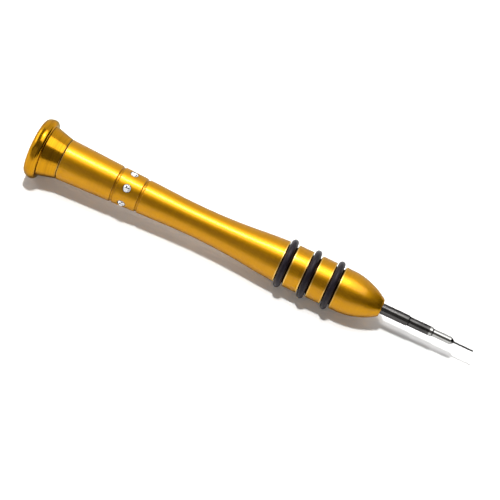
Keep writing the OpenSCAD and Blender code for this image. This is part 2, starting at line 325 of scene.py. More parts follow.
def lathe_tree():
    tree, given = start_tree("lathe", LATHE_INPUTS)
    outline, steps = given["Geometry"], given["Steps round"]
    count = add(tree, "GeometryNodeAttributeDomainSize", {0: outline}).outputs["Point Count"]
    columns = sums(tree, "ADD", steps, 1.0)
    grid = wire(tree, "GeometryNodeMeshGrid", {"Vertices X": count, "Vertices Y": columns})
    index = wire(tree, "GeometryNodeInputIndex")
    row = sums(tree, "FLOOR", sums(tree, "DIVIDE", sums(tree, "ADD", index, 0.5), columns))
    column = sums(tree, "SUBTRACT", index, sums(tree, "MULTIPLY", row, columns))
    angle = sums(tree, "DIVIDE", sums(tree, "MULTIPLY", column, math.tau), steps)

    def read(name):
        named = wire(tree, "GeometryNodeInputNamedAttribute", {"Name": name}, data_type="FLOAT")
        sockets = {"Geometry": outline, "Value": named, "Index": row}
        return wire(tree, "GeometryNodeSampleIndex", sockets, data_type="FLOAT")

    wave = sums(tree, "COSINE", sums(tree, "MULTIPLY", angle, read("flutes")))
    notch = sums(tree, "MULTIPLY", sums(tree, "ADD", wave, 1.0), 0.5)
    cut = sums(tree, "MULTIPLY", read("flute_depth"), notch)
    radius = sums(tree, "MULTIPLY", read("radius"), sums(tree, "SUBTRACT", 1.0, cut))
    where = wire(tree, "ShaderNodeCombineXYZ", {
        "X": read("place"),
        "Y": sums(tree, "MULTIPLY", radius, sums(tree, "COSINE", angle)),
        "Z": sums(tree, "MULTIPLY", radius, sums(tree, "SINE", angle)),
    })
    sockets = {"Geometry": grid, "Name": "wear", "Value": read("wear")}
    with_wear_and_shade = wire(tree, "GeometryNodeStoreNamedAttribute", sockets, data_type="FLOAT", domain="POINT")
    turned = wire(tree, "GeometryNodeSetPosition", {"Geometry": with_wear_and_shade, "Position": where})
    closed = wire(tree, "GeometryNodeMergeByDistance", {"Geometry": turned, "Distance": MEET_M})
    outside = wire(tree, "GeometryNodeFlipFaces", {"Mesh": closed})
    smooth = wire(tree, "GeometryNodeSetShadeSmooth", {"Geometry": outside})
    offset = wire(tree, "ShaderNodeCombineXYZ", {"X": given["Pitch"]})
    seats = wire(tree, "GeometryNodeMeshLine", {"Count": given["Copies"], "Offset": offset})
    copies = wire(tree, "GeometryNodeInstanceOnPoints", {"Points": seats, "Instance": smooth})
    end_tree(tree, copies, given["Finish"])
    return tree


lathe = lathe_tree()
print("lathe tree:", len(lathe.nodes), "nodes")

# %% Turn an outline into a piece
SHARP = math.radians(40)


def shape_by_nodes(piece, tree, inputs):
    modifier = piece.modifiers.new(tree.name, "NODES")
    modifier.node_group = tree
    for socket in tree.interface.items_tree:
        if socket.in_out == "INPUT" and socket.name in inputs:
            modifier[socket.identifier] = inputs[socket.name]
    into_scene(piece)
    bpy.context.view_layer.update()
    seen = piece.evaluated_get(bpy.context.evaluated_depsgraph_get())
    made = bpy.data.meshes.new_from_object(seen)
    piece.modifiers.clear()
    piece.data = made
    made.name = piece.name
    return piece


def turn_piece(name, points, finish, steps, flutes=None, copies=1, pitch=0.0):
    outline = bpy.data.meshes.new(name + "_outline")
    outline.from_pydata([(0, 0, 0)] * len(points), [], [])
    flutes = flutes or [(0, 0)] * len(points)
    columns = {
        "place": [p[0] * MM for p in points],
        "radius": [p[1] * MM for p in points],
        "wear": [p[2] for p in points],
        "flutes": [f[0] for f in flutes],
        "flute_depth": [f[1] for f in flutes],
    }
    for label, values in columns.items():
        outline.attributes.new(label, "FLOAT", "POINT").data.foreach_set("value", values)
    inputs = {"Steps round": steps, "Copies": copies, "Pitch": pitch * MM, "Finish": finish}
    piece = shape_by_nodes(bpy.data.objects.new(name, outline), lathe, inputs)
    piece.data.set_sharp_from_angle(angle=SHARP)
    return piece


def report(piece):
    mesh = bmesh.new()
    mesh.from_mesh(piece.data)
    triangles = sum(len(f.verts) - 2 for f in mesh.faces)
    open_edges = sum(not e.is_manifold for e in mesh.edges)
    volume = mesh.calc_volume(signed=True) / MM ** 3
    print(f"{piece.name}: {triangles} triangles, {open_edges} open edges, {volume:.1f} mm3")
    mesh.free()


print("edges over", round(math.degrees(SHARP)), "degrees stay sharp")

# %% [markdown]
# ## Swivel cap
#
# The cap is turned and polished in one piece: a flat end face, a rim with a long curve behind its crest and a
# short one in front, a small hollow where the rim meets the conical neck, and a bore that seats the bearing.
# Both curves of the rim are quarters of an ellipse. Solidify could give it a wall, but the bore has its own
# shape, so the outline goes from the end face over the rim and along the neck into the bore.

# %% Turn the swivel cap
CAP_LENGTH, RIM_R, RIM_WIDTH, NECK_R, MOUTH_R = 8.3, 8.3, 3.4, 6.9, 5.6
RIM_CREST, REAR_DROP, FRONT_DROP = 2.2, 1.5, 1.1
BEARING_REAR, SEAT_R, SCREW_ROOM_X, SCREW_ROOM_R = 5.0, 3.5, 3.0, 2.9
FACE_LOOP_R, NECK_HOLLOW, MOUTH_EDGE, SEAT_EDGE = 3.2, 0.3, 0.12, 0.1
RIM_STEPS, CORNER_STEPS, TURN_STEPS = 18, 14, 192

quarter = [math.radians(90) * k / RIM_STEPS for k in range(RIM_STEPS + 1)]
rim_rear = [(RIM_CREST * (1 - math.cos(a)), RIM_R - REAR_DROP * (1 - math.sin(a)), 0) for a in quarter]
rim_front = [(RIM_CREST + (RIM_WIDTH - RIM_CREST) * math.sin(a), RIM_R - FRONT_DROP * (1 - math.cos(a)), 0)
             for a in quarter[1:]]
cap_outline = soften([
    (0, 0, 0),
    (0, FACE_LOOP_R, 0),
    *rim_rear,
    *rim_front,
    (RIM_WIDTH, NECK_R, NECK_HOLLOW),
    (CAP_LENGTH, MOUTH_R, MOUTH_EDGE),
    (CAP_LENGTH, SEAT_R, SEAT_EDGE),
    (BEARING_REAR, SEAT_R, 0),
    (BEARING_REAR, SCREW_ROOM_R, 0),
    (SCREW_ROOM_X, SCREW_ROOM_R, 0),
    (SCREW_ROOM_X, 0, 0),
], CORNER_STEPS)
cap = turn_piece("swivel_cap_shell", cap_outline, polished_gold, TURN_STEPS)
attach(cap, "cap")
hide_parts("swivel_cap")
report(cap)

# %% [markdown]
# ## Handle
#
# The handle is one turned bar. A straight cone runs from the rear into a long hollow curve at the waist,
# turns over into the barrel and ends in a rounded nose. Each stretch is a line or an arc that leaves the one
# before it without a kink. Written as one rule for the radius at a place, it serves the lathe outline and the
# pockets for the stones alike.

# %% The radius of the handle at a place
HANDLE_X, HANDLE_LENGTH = 8.5, 90.9
WAIST_R, WAIST_AT, WAIST_CURVE = 4.175, 37.8, 160.0
BARREL_R, SWELL_CURVE = 5.8, 110.0
NOSE_LENGTH, NOSE_R, NOSE_BEVEL = 10.5, 2.5, 0.3

to_centre = Vector((WAIST_R + WAIST_CURVE - MOUTH_R, WAIST_AT))
CONE_SLOPE = math.asin(WAIST_CURVE / to_centre.length) - math.atan2(to_centre.x, to_centre.y)
CONE_END = WAIST_AT - WAIST_CURVE * math.sin(CONE_SLOPE)
SWELL_RISE = BARREL_R - WAIST_R
BARREL_AT = WAIST_AT + math.sqrt(2 * (WAIST_CURVE + SWELL_CURVE) * SWELL_RISE - SWELL_RISE ** 2)
SWELL_AT = WAIST_AT + (BARREL_AT - WAIST_AT) * WAIST_CURVE / (WAIST_CURVE + SWELL_CURVE)
NOSE_AT = HANDLE_LENGTH - NOSE_BEVEL - NOSE_LENGTH
NOSE_DROP = BARREL_R - NOSE_R
NOSE_CURVE = (NOSE_LENGTH ** 2 + NOSE_DROP ** 2) / (2 * NOSE_DROP)


def handle_r(u):
    if u < CONE_END:
        return MOUTH_R - u * math.tan(CONE_SLOPE)
    if u < SWELL_AT:
        return WAIST_R + WAIST_CURVE - math.sqrt(WAIST_CURVE ** 2 - (u - WAIST_AT) ** 2)
    if u < BARREL_AT:
        return BARREL_R - SWELL_CURVE + math.sqrt(SWELL_CURVE ** 2 - (u - BARREL_AT) ** 2)
    if u < NOSE_AT:
        return BARREL_R
    return BARREL_R - NOSE_CURVE + math.sqrt(NOSE_CURVE ** 2 - (u - NOSE_AT) ** 2)


print("handle radius at rear, waist, barrel:", [round(handle_r(u), 3) for u in (0, WAIST_AT, BARREL_AT)])

# %% [markdown]
# ## Grooves
#
# Two fine grooves frame the stone band, and three wide ones hold the rubber rings. A pointed tool cuts the
# fine ones, so their walls slope, and a thin line of painted shade darkens the rear corner. The ring grooves
# are square with a front wall that leans a little; painted shade and some grime darken them inside, and their
# edges are rubbed pale. Bump could hint at such grooves, but only a real cut shows in the silhouette. So they
# are corners of the outline, and each point gets its wear and painted shade from its place.

# %% Grooves as corners of an outline
GROOVE_HALF, GROOVE_DEPTH, GROOVE_EDGE, GROOVE_CORNER = 0.45, 0.3, 0.04, 0.06
REAR_WALL, FRONT_WALL = 0.24, 0.3
RING_GROOVE_HALF, RING_FLOOR_R, RING_LEAN, RING_EDGE, RING_CORNER = 1.175, 4.95, 0.22, 0.06, 0.15
PALE_EDGE, PALE_FADE = 0.25, 0.05


def on_curve(u, rounding=0):
    return u, handle_r(u), rounding


def fine_groove(middle):
    rear, front = middle - GROOVE_HALF, middle + GROOVE_HALF
    floor_ends = (rear + REAR_WALL, front - FRONT_WALL)
    floor = [(u, handle_r(u) - GROOVE_DEPTH, GROOVE_CORNER) for u in floor_ends]
    return [on_curve(rear, GROOVE_EDGE), *floor, on_curve(front, GROOVE_EDGE)]


def ring_groove(middle):
    rear, floor_end = middle - RING_GROOVE_HALF, middle + RING_GROOVE_HALF
    front = floor_end + RING_LEAN
    return [
        on_curve(rear - PALE_EDGE - PALE_FADE),
        on_curve(rear - PALE_EDGE),
        on_curve(rear, RING_EDGE),
        (rear, RING_FLOOR_R, RING_CORNER),
        (floor_end, RING_FLOOR_R, RING_CORNER),
        on_curve(front, RING_EDGE),
        on_curve(front + PALE_EDGE),
        on_curve(front + PALE_EDGE + PALE_FADE),
    ]


print("depth of the grooves:", GROOVE_DEPTH, "and", round(BARREL_R - RING_FLOOR_R, 2), "mm")

# %% Outline behind the stones
STONES_AT, BAND_SHIFT, GROOVE_SPACING, BAND_EDGE = 18.5, 0.4, 7.1, 0.15
SCREW_R, SCREW_HOLE = 1.5, 9.0
DRILL_POINT = math.tan(math.radians(118 / 2))
SCREW_HOLE_EDGE, REAR_FACE_EDGE, REAR_MARGIN, GROOVE_MARGIN = 0.1, 0.14, 0.7, 0.3
CONE_STEP = 1.0


def stretch(start, end, step):
    count = round((end - start) / step)
    return [on_curve(start + (end - start) * k / count) for k in range(count + 1)]


first_groove, second_groove = (STONES_AT + BAND_SHIFT + side * GROOVE_SPACING / 2 for side in (-1, 1))
rear_half = soften([
    (SCREW_HOLE + SCREW_R / DRILL_POINT, 0, 0),
    (SCREW_HOLE, SCREW_R, 0),
    (0, SCREW_R, SCREW_HOLE_EDGE),
    (0, MOUTH_R, REAR_FACE_EDGE),
    *stretch(REAR_MARGIN, first_groove - GROOVE_HALF - GROOVE_MARGIN, CONE_STEP),
    *fine_groove(first_groove),
    on_curve(first_groove + GROOVE_HALF + BAND_EDGE),
])
print("outline behind the stones:", len(rear_half), "points")

# %% Outline in front of the stones
RING_AT = (63.68, 70.34, 77.0)
SHANK_HOLE_R, SHANK_HOLE = 1.46, 20.01
REAR_OF_RING, FRONT_OF_RING = 0.6, 0.8
BODY_STEP, NOSE_STEPS = 0.8, 36
BEVEL_EDGE, NOSE_EDGE = 0.08, 0.06

front_corners = [on_curve(second_groove - GROOVE_HALF - BAND_EDGE), *fine_groove(second_groove)]
done = second_groove + GROOVE_HALF + GROOVE_MARGIN
for ring in RING_AT:
    front_corners += stretch(done, ring - RING_GROOVE_HALF - REAR_OF_RING, BODY_STEP) + ring_groove(ring)
    done = ring + RING_GROOVE_HALF + FRONT_OF_RING
front_corners += stretch(done, NOSE_AT, BODY_STEP)
nose_turn = math.asin(NOSE_LENGTH / NOSE_CURVE)
for k in range(1, NOSE_STEPS):
    a = nose_turn * k / NOSE_STEPS
    r = BARREL_R - NOSE_CURVE + NOSE_CURVE * math.cos(a)
    front_corners.append((NOSE_AT + NOSE_CURVE * math.sin(a), r, 0))
front_corners += [
    (HANDLE_LENGTH - NOSE_BEVEL, NOSE_R, BEVEL_EDGE),
    (HANDLE_LENGTH, NOSE_R - NOSE_BEVEL, NOSE_EDGE),
    (HANDLE_LENGTH, SHANK_HOLE_R, NOSE_EDGE),
    (HANDLE_LENGTH - SHANK_HOLE, SHANK_HOLE_R, 0),
    (HANDLE_LENGTH - SHANK_HOLE - SHANK_HOLE_R / DRILL_POINT, 0, 0),
]
front_half = soften(front_corners)
print("outline in front of the stones:", len(front_half), "points")

# %% Wear and painted shade along the outline
# Bare edges are rubbed pale; negative values are painted shade, deep in the ring grooves with some grime,
# faint in the fine grooves' rear corner
BARE, DEEP_SHADE, FAINT_SHADE = 1.0, -1.0, -0.3
SHADE_FROM, SHADE_TO = 0.12, 0.3
INSIDE, NEARLY = 0.06, 0.01
PALE_REAR = -RING_GROOVE_HALF - PALE_EDGE - NEARLY
PALE_FRONT = RING_GROOVE_HALF + RING_LEAN + PALE_EDGE + NEARLY


def add_wear_and_shade(u, r, wear):
    if any(PALE_REAR < u - ring < PALE_FRONT for ring in RING_AT):
        return u, r, DEEP_SHADE if r < handle_r(u) - INSIDE else BARE
    grooves = (first_groove, second_groove)
    in_shade = any(SHADE_FROM < u - groove + GROOVE_HALF < SHADE_TO for groove in grooves)
    return u, r, FAINT_SHADE if in_shade else wear


rear_half, front_half = ([add_wear_and_shade(*p) for p in half] for half in (rear_half, front_half))
# Count of the points with painted shade
print("shaded points:", sum(wear < 0 for _, _, wear in rear_half + front_half))

# %% [markdown]
# ## Pockets for the stones
#
# Six stones sit in drilled pockets, evenly spaced round the band between the two fine grooves. A Boolean
# would cut them, but it leaves long thin faces that spoil the shine on a turned surface. So the band is
# woven instead: each sixth of it is a patch whose outer edge follows the lathe's grid and whose inner edge is
# the pocket's round rim, with a few loops between them. The rim rolls over into a straight seat and a cone,
# and painted shade on the rim and in the narrow gap makes a dark line round each stone.

# %% Weave the turned stretches
STEPS_ROUND, STONES = 240, 6
FIRST_STONE = math.radians(180 - 52)
SECTOR = math.tau / STONES


class Weave:
    def __init__(self):
        self.points, self.wear, self.faces = [], [], []

    def point(self, x, y, z, wear=0.0):
        self.points.append((x * MM, y * MM, z * MM))
        self.wear.append(wear)
        return len(self.points) - 1

    def turned(self, u, r, angle, wear=0.0):
        return self.point(HANDLE_X + u, r * math.cos(angle), r * math.sin(angle), wear)

    def loop(self, u, r, wear):
        if r == 0:
            return [self.point(HANDLE_X + u, 0, 0)] * STEPS_ROUND
        start = FIRST_STONE - SECTOR / 2
        return [self.turned(u, r, start + k * math.tau / STEPS_ROUND, wear) for k in range(STEPS_ROUND)]

    def join(self, loops):
        for first, second in zip(loops, loops[1:]):
            for k in range(len(first)):
                n = (k + 1) % len(first)
                corners = dict.fromkeys((first[k], first[n], second[n], second[k]))
                self.faces.append(list(corners))


weave = Weave()
rear_loops = [weave.loop(*p) for p in rear_half]
front_loops = [weave.loop(*p) for p in front_half]
weave.join(rear_loops)
weave.join(front_loops)
print("turned stretches:", len(weave.points), "points,", len(weave.faces), "faces")

# %% Borders of the six patches
SIDE_STEPS = 40
band_start, band_end = rear_half[-1][0], front_half[0][0]
side_places = [band_start + (band_end - band_start) * k / SIDE_STEPS for k in range(1, SIDE_STEPS)]


def on_band(u, angle, wear=0.0):
    return weave.turned(u, handle_r(u), angle, wear)


side_lines = [[on_band(u, FIRST_STONE + (i - 0.5) * SECTOR) for u in side_places] for i in range(STONES)]


def patch_border(i):
    per = STEPS_ROUND // STONES
    turns = [SECTOR * (k / per - 0.5) for k in range(per + 1)]
    picks = [(per * i + k) % STEPS_ROUND for k in range(per + 1)]
    border = [(rear_loops[-1][p], band_start, a) for p, a in zip(picks, turns)]
    border += [(v, u, SECTOR / 2) for v, u in zip(side_lines[(i + 1) % STONES], side_places)]
    border += [(front_loops[0][p], band_end, a) for p, a in zip(reversed(picks), reversed(turns))]
    border += [(v, u, -SECTOR / 2) for v, u in zip(reversed(side_lines[i]), reversed(side_places))]
    return border


print("points round a patch:", len(patch_border(0)))

# %% Weave the pockets
POCKET, POCKET_EDGE, STONE_SINK, GIRDLE, PAVILION, CULET = 1.07, 0.06, 0.1, 0.105, 0.776, 0.125
TOWARDS_RIM = (0.25, 0.45, 0.62, 0.76, 0.87, 0.95, 1.0)
EDGE_ROLLS = [math.radians(a) for a in (30, 60, 90)]
# Painted shade on the pocket's rim and in the gap round the stone
RIM_SHADE, GAP_SHADE = -0.6, -0.9
BAND_R = handle_r(STONES_AT)


def weave_pocket(i):
    middle = FIRST_STONE + i * SECTOR
    outward, sideways = (math.cos(middle), math.sin(middle)), (-math.sin(middle), math.cos(middle))
    border = patch_border(i)
    bearings = [math.atan2(a * BAND_R, u - STONES_AT) for _, u, a in border]
    rim, seat = POCKET + POCKET_EDGE, BAND_R - STONE_SINK - GIRDLE

    def patch_loop(share):
        loop = []
        for (_, u, a), b in zip(border, bearings):
            rim_u, rim_a = STONES_AT + rim * math.cos(b), math.asin(rim * math.sin(b) / BAND_R)
            wear = RIM_SHADE if share == 1 else 0.0
            loop.append(on_band(u + (rim_u - u) * share, middle + (a + (rim_a - a) * share), wear))
        return loop

    def inside(reach, b, height, wear=0.0):
        s = reach * math.sin(b)
        y, z = (out * height + side * s for out, side in zip(outward, sideways))
        return weave.point(HANDLE_X + STONES_AT + reach * math.cos(b), y, z, wear)

    def edge_loop(roll):
        reach, drop = POCKET + POCKET_EDGE * (1 - math.sin(roll)), POCKET_EDGE * (1 - math.cos(roll))
        loop = []
        for b in bearings:
            surface_r = handle_r(STONES_AT + reach * math.cos(b))
            height = math.sqrt(surface_r ** 2 - (reach * math.sin(b)) ** 2) - drop
            loop.append(inside(reach, b, height, GAP_SHADE))
        return loop

    loops = [[v for v, _, _ in border]]
    loops += [patch_loop(share) for share in TOWARDS_RIM]
    loops += [edge_loop(roll) for roll in EDGE_ROLLS]
    for reach, height in ((POCKET, seat), (CULET, seat - PAVILION)):
        loops.append([inside(reach, b, height) for b in bearings])
    loops.append([inside(0, 0, seat - PAVILION)] * len(border))
    weave.join(loops)


for i in range(STONES):
    weave_pocket(i)
print("with the pockets:", len(weave.points), "points,", len(weave.faces), "faces")

# %% Make the handle from the weave
def woven_piece(name, woven, finish):
    mesh = bpy.data.meshes.new(name)
    mesh.from_pydata(woven.points, [], woven.faces)
    mesh.attributes.new("wear", "FLOAT", "POINT").data.foreach_set("value", woven.wear)
    shell = bmesh.new()
    shell.from_mesh(mesh)
    bmesh.ops.recalc_face_normals(shell, faces=shell.faces)
    for face in shell.faces:
        face.smooth = True
    shell.to_mesh(mesh)
    shell.free()
    mesh.materials.append(finish)
    mesh.set_sharp_from_angle(angle=SHARP)
    return into_scene(bpy.data.objects.new(name, mesh))


handle = woven_piece("handle_bar", weave, satin_gold)
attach(handle, "handle")
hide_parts("handle_body")
report(handle)

# %% [markdown]
# ## Cut stones
#
# The stones are small clear crystals with silver foil behind them, so they throw back nearly all the light,
# and some facets go dark where they look past the lamps. Real refraction would need far more light paths for
# eight pixels, so the foil is painted into the surface: white under a clear coat, with a painted reflection,
# a flash value on every facet, that says how much light it throws back. Geometry Nodes set one stone six
# times round the band.

# %% Foil-backed crystal
CRYSTAL_CLOUDS = (900, 900, 2.0)
DIM_CRYSTAL, CLEAR_CRYSTAL = (0.80, 0.82, 0.85, 1), (0.93, 0.94, 0.95, 1)
# Painted colour of a facet whose reflection shows nothing bright
DARK_FACET = (0.02, 0.016, 0.018, 1)


def stone_finish():
    finish, tree, surface, place = new_finish("cut_stone")
    cloud = grain(tree, place, *CRYSTAL_CLOUDS)
    clear = tint(tree, cloud, DIM_CRYSTAL, CLEAR_CRYSTAL)
    fill(tree, surface, {
        "Base Color": tint(tree, shape_value(tree, "flash"), DARK_FACET, clear),
        "Roughness": vary(tree, cloud, 0.02, 0.07),
        "Metallic": 0.3,
        "Coat Weight": 0.5,
        "Coat Roughness": 0.01,
    })
    return finish


cut_stone = stone_finish()
print("stone finish:", cut_stone.name)

# %% Cut one stone
STONE_D = 2.1
# Corners, turn in steps, radius and height of each level, as shares of the diameter
CUT_LEVELS = (
    (8, 0, 0.275, 0.2), (8, 0.5, 0.385, 0.126), (16, 0, 0.5, 0),
    (16, 0, 0.5, -0.05), (8, 0.5, 0.27, -0.24), (8, 0, 0.05, -0.41))
# Painted reflection: how much light each facet throws back, table facets first
TABLE_FLASHES = (0.9, 1.0, 0.8, 1.0, 0.05, 0.9, 0.0, 0.05)
FLASHES = (1.0, 0.7, 0.2, 0.95, 0.6)
FLAT_FACET = math.radians(1)


def top_down(facet):
    return -round(facet.center.z / MM, 2), math.atan2(facet.center.y, facet.center.x)


def brilliant():
    shell = bmesh.new()
    for count, shift, r, height in CUT_LEVELS:
        for k in range(count):
            a = math.tau * (k + shift) / count
            corner = (r * math.cos(a), r * math.sin(a), height)
            shell.verts.new([v * STONE_D * MM for v in corner])
    bmesh.ops.convex_hull(shell, input=shell.verts)
    bmesh.ops.dissolve_limit(shell, angle_limit=FLAT_FACET, verts=shell.verts, edges=shell.edges)
    bmesh.ops.poke(shell, faces=[max(shell.faces, key=lambda f: f.calc_center_median().z)])
    bmesh.ops.recalc_face_normals(shell, faces=shell.faces)
    mesh = bpy.data.meshes.new("brilliant")
    shell.to_mesh(mesh)
    shell.free()
    flash = mesh.attributes.new("flash", "FLOAT", "FACE").data
    for k, facet in enumerate(sorted(mesh.polygons, key=top_down)):
        on_table = k < len(TABLE_FLASHES)
        flash[facet.index].value = TABLE_FLASHES[k] if on_table else FLASHES[k % len(FLASHES)]
    return bpy.data.objects.new("brilliant", mesh)


cut = brilliant()
print("facets on one stone:", len(cut.data.polygons))

# %% Set it in six seats
STONE_INPUTS = {
    "Stone": "Object", "Count": "Int", "Place": "Float",
    "Seat radius": "Float", "First turn": "Float", "Finish": "Material",
}


def stone_tree():
    tree, given = start_tree("stone_band", STONE_INPUTS)
    ring = wire(tree, "GeometryNodeMeshCircle", {"Vertices": given["Count"], "Radius": 1.0})
    index = wire(tree, "GeometryNodeInputIndex")
    step = sums(tree, "DIVIDE", math.tau, given["Count"])
    turn = sums(tree, "ADD", given["First turn"], sums(tree, "MULTIPLY", index, step))
    sockets = {"Y": sums(tree, "COSINE", turn), "Z": sums(tree, "SINE", turn)}
    outward = wire(tree, "ShaderNodeCombineXYZ", sockets)
    seat = wire(tree, "ShaderNodeVectorMath", {0: outward, "Scale": given["Seat radius"]}, operation="SCALE")
    shift = wire(tree, "ShaderNodeCombineXYZ", {"X": given["Place"]})
    where = wire(tree, "ShaderNodeVectorMath", {0: seat, 1: shift}, operation="ADD")
    placed = wire(tree, "GeometryNodeSetPosition", {"Geometry": ring, "Position": where})
    axes = {"primary_axis": "Z", "secondary_axis": "X"}
    aim = wire(tree, "FunctionNodeAxesToRotation", {0: outward, 1: (1, 0, 0)}, **axes)
    stone = add(tree, "GeometryNodeObjectInfo", {"Object": given["Stone"]}).outputs["Geometry"]
    sockets = {"Points": placed, "Instance": stone, "Rotation": aim}
    set_round = wire(tree, "GeometryNodeInstanceOnPoints", sockets)
    end_tree(tree, set_round, given["Finish"])
    return tree


empty_band = bpy.data.objects.new("stone_band", bpy.data.meshes.new("stone_band"))
stones = shape_by_nodes(empty_band, stone_tree(), {
    "Stone": cut, "Count": STONES, "Place": (HANDLE_X + STONES_AT) * MM,
    "Seat radius": (BAND_R - STONE_SINK) * MM, "First turn": FIRST_STONE, "Finish": cut_stone,
})
bpy.data.objects.remove(cut)
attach(stones, "handle")
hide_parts(*(f"stone_{i}" for i in range(1, STONES + 1)))
report(stones)

# %% [markdown]
# ## Grip rings
#
# Three black rubber rings sit in the square grooves. A moulded ring has a fine line round it where the two
# halves of the mould met, and a dull, faintly dusty skin. A plain torus has no such line, so the section of
# the cord is an outline like any other, and the lathe turns it and repeats it at the pitch of the grooves.

# %% Moulded rubber
RUBBER_SKIN, RUBBER_DUST = (2500, 2500, 4.0), (500, 500, 3.0)
CLEAN_RUBBER, DUSTY_RUBBER = (0.005, 0.0035, 0.006, 1), (0.020, 0.015, 0.022, 1)


def rubber_finish():
    finish, tree, surface, place = new_finish("ring_rubber")
    skin, dust = (grain(tree, place, *waves) for waves in (RUBBER_SKIN, RUBBER_DUST))
    dusty = spread(tree, dust, 0.45, 0.8, 0.0, 0.6)
    fill(tree, surface, {
        "Base Color": tint(tree, dusty, CLEAN_RUBBER, DUSTY_RUBBER),
        "Roughness": spread(tree, skin, 0.25, 0.75, 0.36, 0.5),
        "Normal": bumps(tree, skin, strength=0.35, depth=0.02),
        "Specular IOR Level": 0.22,
        "Specular Tint": (1.0, 0.9, 0.97, 1),
    })
    return finish


ring_rubber = rubber_finish()
print("ring finish:", ring_rubber.name)

# %% Turn the rings
CORD_R, RING_MIDDLE_R, CORD_STEPS = 0.9, 5.86, 48
MOULD_LINE, MOULD_LINE_WIDTH = 0.02, 0.06

ring_section = []
for k in range(CORD_STEPS + 1):
    a = -math.tau * k / CORD_STEPS
    r = CORD_R + MOULD_LINE * math.exp(-(math.sin(a / 2 - math.pi / 4) / MOULD_LINE_WIDTH) ** 2)
    ring_section.append((HANDLE_X + RING_AT[0] + r * math.cos(a), RING_MIDDLE_R + r * math.sin(a), 0.0))
pitch = RING_AT[1] - RING_AT[0]
rings = turn_piece("grip_rings", ring_section, ring_rubber, TURN_STEPS, copies=len(RING_AT), pitch=pitch)
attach(rings, "handle")
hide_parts("grip_ring_rear", "grip_ring_middle", "grip_ring_front")
report(rings)

# %% [markdown]
# ## Blade
#
# The blade is a stepped steel rod. The shank and the middle step are blackened. Just behind the front end of
# the middle step the steel turns bright, and the thin tip is dark again, with a fine star end. Painted shade
# darkens the corner in front of each shoulder. The tang inside the nose is fluted, so that it grips. Bright
# and black could be two materials on two sets of faces, but they meet softly, so one finish reads its place
# along the axis. The lobes come from the lathe's two flute values.

# %% Blackened and bright steel
BRIGHT_FROM, BRIGHT_FADE, TIP_FROM, TIP_FADE = 113.0, 0.15, 119.4, 0.4
STEEL_RINGS, STEEL_CLOUDS = (9000, 300, 2.0), (400, 700, 3.0)
BLACK_STEEL = (0.054, 0.052, 0.051, 1), (0.094, 0.091, 0.089, 1)
BRIGHT_STEEL = (0.33, 0.328, 0.32, 1), (0.44, 0.437, 0.427, 1)
# Tip colour, painted shade colour for the corners in front of the shoulders, and grazing tint
TIP_STEEL, CORNER_SHADE, GRAZING_STEEL = ((grey, grey, grey, 1) for grey in (0.03, 0.01, 0.05))


def blade_finish():
    finish, tree, surface, place = new_finish("blade_steel")
    along = wire(tree, "ShaderNodeSeparateXYZ", {0: place})
    rings, cloud = (grain(tree, place, *waves) for waves in (STEEL_RINGS, STEEL_CLOUDS))
    wear = shape_value(tree, "wear")
    bright = tint(tree, rings, *BRIGHT_STEEL)
    black = tint(tree, spread(tree, cloud, 0.3, 0.7, 0.0, 1.0), *BLACK_STEEL)
    black = tint(tree, spread(tree, wear, 0.0, 1.0, 0.0, 0.6), black, bright)
    ends = (BRIGHT_FROM - BRIGHT_FADE) * MM, (BRIGHT_FROM + BRIGHT_FADE) * MM
    ground = spread(tree, along, *ends, 0.0, 1.0)
    at_tip = spread(tree, along, (TIP_FROM - TIP_FADE) * MM, TIP_FROM * MM, 0.0, 0.85)
    colour = tint(tree, at_tip, tint(tree, ground, black, bright), TIP_STEEL)
    # Painted shade in the corner in front of each shoulder
    colour = tint(tree, spread(tree, wear, -1.0, 0.0, 1.0, 0.0), colour, CORNER_SHADE)
    rough = spread(tree, ground, 0.0, 1.0, 0.23, 0.11)
    fill(tree, surface, {
        "Base Color": colour,
        "Roughness": sums(tree, "ADD", rough, vary(tree, rings, -0.04, 0.04)),
        "Normal": bumps(tree, rings, strength=0.3, depth=0.003),
        "Metallic": 1.0,
        "Specular Tint": GRAZING_STEEL,
    })
    return finish


blade_steel = blade_finish()
print("blade finish:", blade_steel.name, "bright from", BRIGHT_FROM, "to", TIP_FROM - TIP_FADE, "mm")

# %% Turn the blade
SHANK_R, STEP_R, FRONT_R, TIP_R = 1.45, 1.25, 1.0, 0.25
TANG_X, SHANK_END, STEP_END, FRONT_END, TIP_START, TIP_END = 79.4, 107.0, 113.8, 119.0, 120.0, 125.4
TANG_FLUTED, DRIVE_LENGTH, SHANK_FRONT, BLADE_STEPS = 8.0, 1.2, 1.5, 120
FLUTES_END, DRIVE_START = TANG_X + TANG_FLUTED, TIP_END - DRIVE_LENGTH
# Count of flutes and their depth as a share of the radius
TANG_FLUTES, DRIVE_LOBES, PLAIN = (8, 0.1), (5, 0.21), (5, 0.0)
STEP_EDGE, CONE_EDGE, CONE_FOOT, TIP_EDGE = 0.15, 0.08, 0.2, 0.05
# Reach and fade of the painted shade in front of a shoulder, then the fades of flutes and lobes
CORNER_SHADE_REACH, CORNER_SHADE_FADE, FLUTE_FADE, LOBE_FADE = 0.26, 0.2, 0.4, 0.15


def shoulder(end, r, next_r, corner, shade_run):
    return [(end, r, STEP_EDGE), (end, next_r, corner),
            (end + shade_run, next_r, 0), (end + shade_run + CORNER_SHADE_FADE, next_r, 0)]


# Points just in front of a shoulder get painted shade
def shade_corners(x, r, wear):
    in_corner_shade = any(-NEARLY < x - end < CORNER_SHADE_REACH for end in (SHANK_END, STEP_END))
    return x, r, DEEP_SHADE if in_corner_shade else wear


def flutes_at(x):
    if x < FLUTES_END - FLUTE_FADE / 2:
        return TANG_FLUTES
    return DRIVE_LOBES if x > DRIVE_START - LOBE_FADE / 2 else PLAIN


